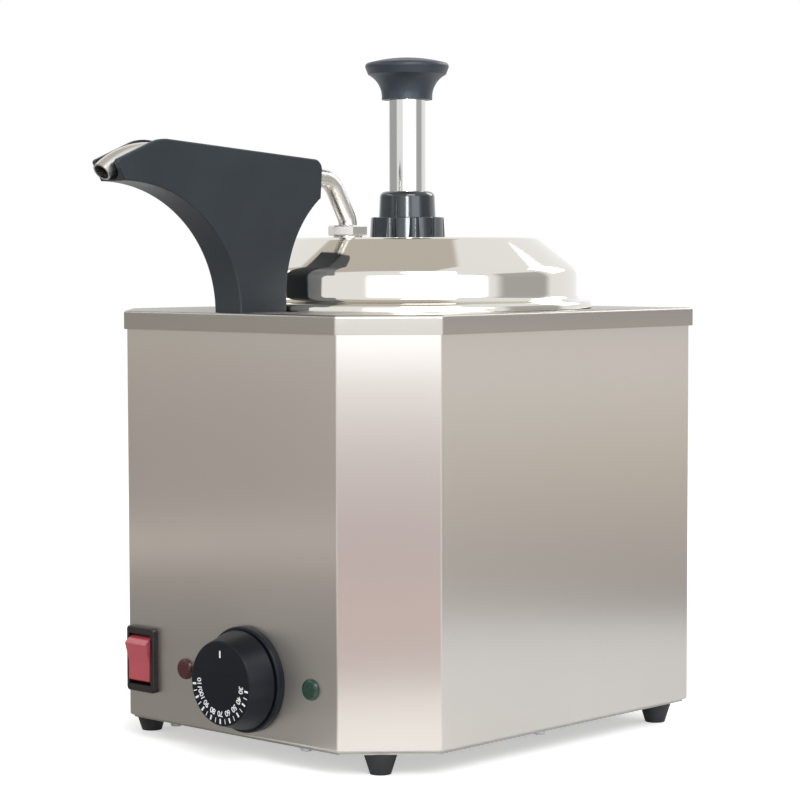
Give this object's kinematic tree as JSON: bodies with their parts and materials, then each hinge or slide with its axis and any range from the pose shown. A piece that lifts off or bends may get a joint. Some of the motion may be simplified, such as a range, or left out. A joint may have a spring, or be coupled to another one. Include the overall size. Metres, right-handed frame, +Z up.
{
  "type": "hot topping warmer",
  "caption": "Countertop hot topping warmer with chamfered stainless housing, spun lid, hand pump, heated spout cover, dial thermostat and rocker switch.",
  "frame": {"origin": "centre of the overall footprint, at the counter under the feet", "axes": "+Z up, the front panel with the controls faces -Y and the spout reaches over it, +X is the machine's right side as seen from the front"},
  "size_m": [0.213, 0.3158, 0.3354],
  "materials": {
    "brushed_panel": "satin, vertical grain",
    "polished_steel": "polished spun stainless steel",
    "slate_cover": "slate satin coating on cast aluminium",
    "knob_plastic": "matte moulded phenolic",
    "collar_plastic": "glossy moulded nylon",
    "foot_rubber": "moulded rubber",
    "black_plastic": "moulded thermoset",
    "switch_plastic": "moulded nylon bezel",
    "rocker_red": "translucent red polycarbonate",
    "red_lens": "dark red polycarbonate lens, unlit",
    "green_lens": "dark green polycarbonate lens, unlit",
    "screw_steel": "zinc plated",
    "plain_steel": "plain stainless",
    "aluminium_block": "as machined",
    "heater_sheath": "heat tinted sheath",
    "mineral_wool": "compressed mineral fibre",
    "pump_plastic": "natural acetal",
    "seal_rubber": "silicone",
    "gasket_rubber": "nitrile",
    "terminal_plastic": "moulded nylon",
    "earth_brass": "turned brass"
  },
  "bodies": {
    "base": {"housing_shell": "brushed_panel", "deck_panel": "brushed_panel", "base_plate": "plain_steel", "feet": "foot_rubber", "foot_screws": "screw_steel", "foot_nuts": "screw_steel", "base_screws": "screw_steel", "well_tank": "plain_steel", "food_pot": "polished_steel", "insulation_sleeve": "mineral_wool", "heating_element": "heater_sheath", "heater_plate": "aluminium_block", "heater_clamp": "plain_steel", "clamp_nut": "screw_steel", "thermal_cutout": "black_plastic", "thermostat_body": "black_plastic", "sensor_bulb": "polished_steel", "bulb_clip": "plain_steel", "knob_bezel": "black_plastic", "thermostat_screws": "screw_steel", "switch_housing": "switch_plastic", "switch_tabs": "earth_brass", "red_lamp_lens": "red_lens", "green_lamp_lens": "green_lens", "lamp_holders": "terminal_plastic", "cable_gland": "black_plastic", "gland_cap": "black_plastic", "gland_locknut": "black_plastic", "terminal_block": "terminal_plastic", "earth_stud": "earth_brass", "spout_shroud_right": "slate_cover", "spout_shroud_left": "slate_cover", "shroud_screws": "screw_steel", "spout_post": "aluminium_block", "post_screws": "screw_steel", "spout_heater": "heater_sheath"},
    "thermostat_dial": {"thermostat_knob": "black_plastic", "thermostat_shaft": "screw_steel"},
    "rocker": {"switch_rocker": "rocker_red"},
    "lid_and_pump": {"lid": "polished_steel", "pump_barrel": "polished_steel", "lid_gasket": "gasket_rubber", "lock_collar": "collar_plastic", "guide_cap": "collar_plastic", "return_spring": "plain_steel", "valve_block": "pump_plastic", "riser_tube": "polished_steel", "tube_union": "plain_steel", "union_locknut": "plain_steel", "union_nut": "plain_steel", "discharge_tube": "polished_steel"},
    "plunger": {"pump_knob": "knob_plastic", "pump_rod": "polished_steel", "piston": "pump_plastic", "piston_seals": "seal_rubber"},
    "intake_check": {"intake_ball": "plain_steel"},
    "outlet_check": {"outlet_ball": "plain_steel"}
  },
  "joints": [
    {"name": "thermostat_turn", "type": "hinge", "parent": "base", "child": "thermostat_dial", "pos_m": [0.0125, -0.07962, 0.0385], "axis": [0, -1, 0], "range_deg": [0, 264]},
    {"name": "rocker_tip", "type": "hinge", "parent": "base", "child": "rocker", "pos_m": [-0.0605, -0.07662, 0.04], "axis": [-1, 0, 0], "range_deg": [0, 16]},
    {"name": "lid_lift", "type": "slide", "parent": "base", "child": "lid_and_pump", "axis": [0, 0.4226, 0.9063], "range_m": [0, 0.17]},
    {"name": "pump_stroke", "type": "slide", "parent": "lid_and_pump", "child": "plunger", "axis": [0, 0, -1], "range_m": [0, 0.042], "stiffness_N_per_m": 400, "springref_m": -0.01, "deforming": ["return_spring"]},
    {"name": "intake_ball_lift", "type": "slide", "parent": "lid_and_pump", "child": "intake_check", "axis": [0, 0, 1], "range_m": [0, 0.0018]},
    {"name": "outlet_ball_lift", "type": "slide", "parent": "lid_and_pump", "child": "outlet_check", "axis": [0, 0, 1], "range_m": [0, 0.0025]}
  ]
}
